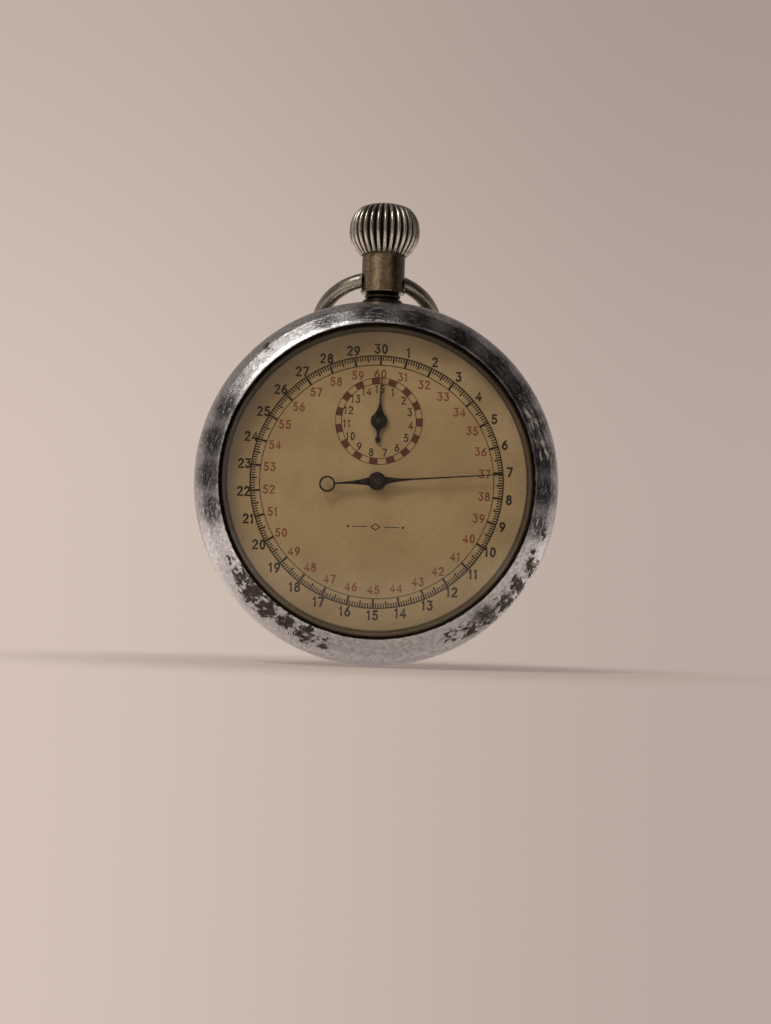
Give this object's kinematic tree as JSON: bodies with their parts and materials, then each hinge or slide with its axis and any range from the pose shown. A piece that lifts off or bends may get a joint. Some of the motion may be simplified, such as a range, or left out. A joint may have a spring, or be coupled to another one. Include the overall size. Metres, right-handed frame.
{
  "type": "mechanical stopwatch",
  "caption": "Open-face mechanical stopwatch with a fluted winding and push crown, a swinging bow, two hands and a full movement.",
  "frame": {"origin": "centre of the flat outer face of the case back, on the axis of the sweep hand", "axes": "+Z toward the crown and the 12 o'clock side, +X toward 3 o'clock, -Y toward the reader of the dial"},
  "size_m": [0.0508, 0.0202, 0.0647],
  "materials": {
    "chrome": "polished plating, worn and pitted at the edges",
    "nickel": "dull worn nickel with brass showing",
    "steel": "straight grained",
    "blued_steel": "heat blued, polished",
    "black_steel": "blackened",
    "gilt": "matt gilt",
    "brass": "polished",
    "lacquer": "aged cream lacquer, slightly glossy",
    "ruby": "polished",
    "glass": "clear domed crystal"
  },
  "bodies": {
    "case": {"middle_case": "chrome", "case_back": "chrome", "bezel": "chrome", "crystal": "glass", "pendant": "nickel", "dial": "lacquer", "mainplate": "gilt", "barrel_bridge": "gilt", "train_bridge": "gilt", "balance_cock": "gilt", "pallet_bridge": "gilt", "barrel_bridge_screw_right": "blued_steel", "barrel_bridge_screw_left": "blued_steel", "train_bridge_screw": "blued_steel", "balance_cock_screw": "blued_steel", "sweep_jewel": "ruby", "third_jewel": "ruby", "escape_jewel": "ruby", "balance_jewel": "ruby", "click_spring": "blued_steel", "hairspring": "blued_steel", "hairspring_stud": "steel"},
    "bow_ring": {"bow": "nickel"},
    "push_piece": {"push_sleeve": "steel"},
    "crown_and_stem": {"crown": "chrome", "winding_stem": "steel"},
    "winding_pinion_body": {"winding_pinion": "steel"},
    "crown_wheel_body": {"crown_wheel": "steel"},
    "ratchet_body": {"ratchet_wheel": "steel", "barrel_arbor": "steel"},
    "click_body": {"click": "steel"},
    "barrel_body": {"barrel_drum": "brass", "barrel_cover": "brass", "mainspring": "blued_steel"},
    "second_body": {"second_wheel": "brass", "second_pinion": "steel"},
    "third_body": {"third_wheel": "brass", "third_pinion": "steel"},
    "sweep_body": {"sweep_wheel": "brass", "sweep_arbor": "steel", "sweep_heart": "steel", "recorder_driver": "steel", "sweep_hand": "black_steel"},
    "escape_body": {"escape_wheel": "steel", "escape_pinion": "steel"},
    "fork_body": {"pallet_fork": "steel"},
    "balance_body": {"balance_wheel": "brass", "balance_staff": "steel"},
    "recorder_body": {"recorder_wheel": "brass", "recorder_pinion": "steel"},
    "register_body": {"register_wheel": "brass", "register_arbor": "steel", "register_heart": "steel", "register_hand": "black_steel"},
    "column_body": {"column_wheel": "steel"},
    "operating_body": {"operating_lever": "steel"},
    "hammer_body": {"reset_hammer": "steel"},
    "brake_body": {"brake_lever": "steel"}
  },
  "joints": [
    {"name": "bow_swing", "type": "hinge", "parent": "case", "child": "bow_ring", "pos_m": [0, -0.006, 0.0282], "axis": [1, 0, 0], "range_deg": [0, 260]},
    {"name": "crown_push", "type": "slide", "parent": "case", "child": "push_piece", "axis": [0, 0, -1], "range_m": [0, 0.0012], "stiffness_N_per_m": 2000},
    {"name": "crown_turn", "type": "hinge", "parent": "push_piece", "child": "crown_and_stem", "pos_m": [0, -0.006, 0.035], "axis": [0, 0, 1], "continuous": true},
    {"name": "winding_pinion_turn", "type": "hinge", "parent": "case", "child": "winding_pinion_body", "pos_m": [0, -0.006, 0.0166], "axis": [0, 0, 1], "continuous": true},
    {"name": "crown_wheel_turn", "type": "hinge", "parent": "case", "child": "crown_wheel_body", "pos_m": [0, -0.003, 0.013], "axis": [0, -1, 0], "continuous": true},
    {"name": "ratchet_turn", "type": "hinge", "parent": "case", "child": "ratchet_body", "pos_m": [-0.0082, -0.003, 0.00967], "axis": [0, -1, 0], "continuous": true},
    {"name": "click_lift", "type": "hinge", "parent": "case", "child": "click_body", "pos_m": [-0.00698, -0.003, 0.01657], "axis": [0, -1, 0], "range_deg": [0, 12], "stiffness_Nm_per_rad": 0.0001},
    {"name": "sweep_turn", "type": "hinge", "parent": "case", "child": "sweep_body", "pos_m": [0, -0.005, 0], "axis": [0, 1, 0], "continuous": true},
    {"name": "third_turn", "type": "hinge", "parent": "case", "child": "third_body", "pos_m": [-0.00442, -0.005, -0.0031], "axis": [0, 1, 0], "continuous": true},
    {"name": "second_turn", "type": "hinge", "parent": "case", "child": "second_body", "pos_m": [-0.00819, -0.005, 0.00157], "axis": [0, 1, 0], "continuous": true},
    {"name": "barrel_turn", "type": "hinge", "parent": "case", "child": "barrel_body", "pos_m": [-0.0082, -0.005, 0.00967], "axis": [0, 1, 0], "continuous": true},
    {"name": "escape_turn", "type": "hinge", "parent": "case", "child": "escape_body", "pos_m": [0.00264, -0.005, -0.00457], "axis": [0, 1, 0], "continuous": true},
    {"name": "recorder_turn", "type": "hinge", "parent": "case", "child": "recorder_body", "pos_m": [0.00081, -0.0088, 0.00369], "axis": [0, 1, 0], "continuous": true},
    {"name": "register_turn", "type": "hinge", "parent": "case", "child": "register_body", "pos_m": [0, -0.0092, 0.0083], "axis": [0, 1, 0], "continuous": true},
    {"name": "fork_rock", "type": "hinge", "parent": "case", "child": "fork_body", "pos_m": [0.00476, -0.0064, -0.00669], "axis": [0, -1, 0], "range_deg": [-5, 5]},
    {"name": "balance_swing", "type": "hinge", "parent": "case", "child": "balance_body", "pos_m": [0.00709, -0.005, -0.00903], "axis": [0, -1, 0], "range_deg": [-220, 220], "stiffness_Nm_per_rad": 0.0000018},
    {"name": "column_turn", "type": "hinge", "parent": "case", "child": "column_body", "pos_m": [0.008, -0.002, 0.0085], "axis": [0, 1, 0], "continuous": true},
    {"name": "operating_rock", "type": "hinge", "parent": "case", "child": "operating_body", "pos_m": [0.0125, -0.0022, 0.012], "axis": [0, -1, 0], "range_deg": [0, 5.6]},
    {"name": "hammer_drop", "type": "hinge", "parent": "case", "child": "hammer_body", "pos_m": [0.0046, -0.0018, 0.0116], "axis": [0, 1, 0], "range_deg": [0, 4.5], "stiffness_Nm_per_rad": 0.0001},
    {"name": "brake_rock", "type": "hinge", "parent": "case", "child": "brake_body", "pos_m": [0.0145, -0.0018, 0.005], "axis": [0, -1, 0], "range_deg": [0, 4], "stiffness_Nm_per_rad": 0.0001}
  ],
  "couplings": [
    {"joint": "winding_pinion_turn", "follows": "crown_turn", "ratio": 1},
    {"joint": "crown_wheel_turn", "follows": "crown_turn", "ratio": 0.75},
    {"joint": "ratchet_turn", "follows": "crown_turn", "ratio": -0.51429},
    {"joint": "third_turn", "follows": "sweep_turn", "ratio": -0.16667},
    {"joint": "second_turn", "follows": "sweep_turn", "ratio": 0.02381},
    {"joint": "barrel_turn", "follows": "sweep_turn", "ratio": -0.0029762},
    {"joint": "escape_turn", "follows": "sweep_turn", "ratio": -10},
    {"joint": "recorder_turn", "follows": "sweep_turn", "ratio": -0.16667},
    {"joint": "register_turn", "follows": "sweep_turn", "ratio": 0.033333},
    {"joint": "operating_rock", "follows": "crown_push", "rad_per_m": 80}
  ]
}
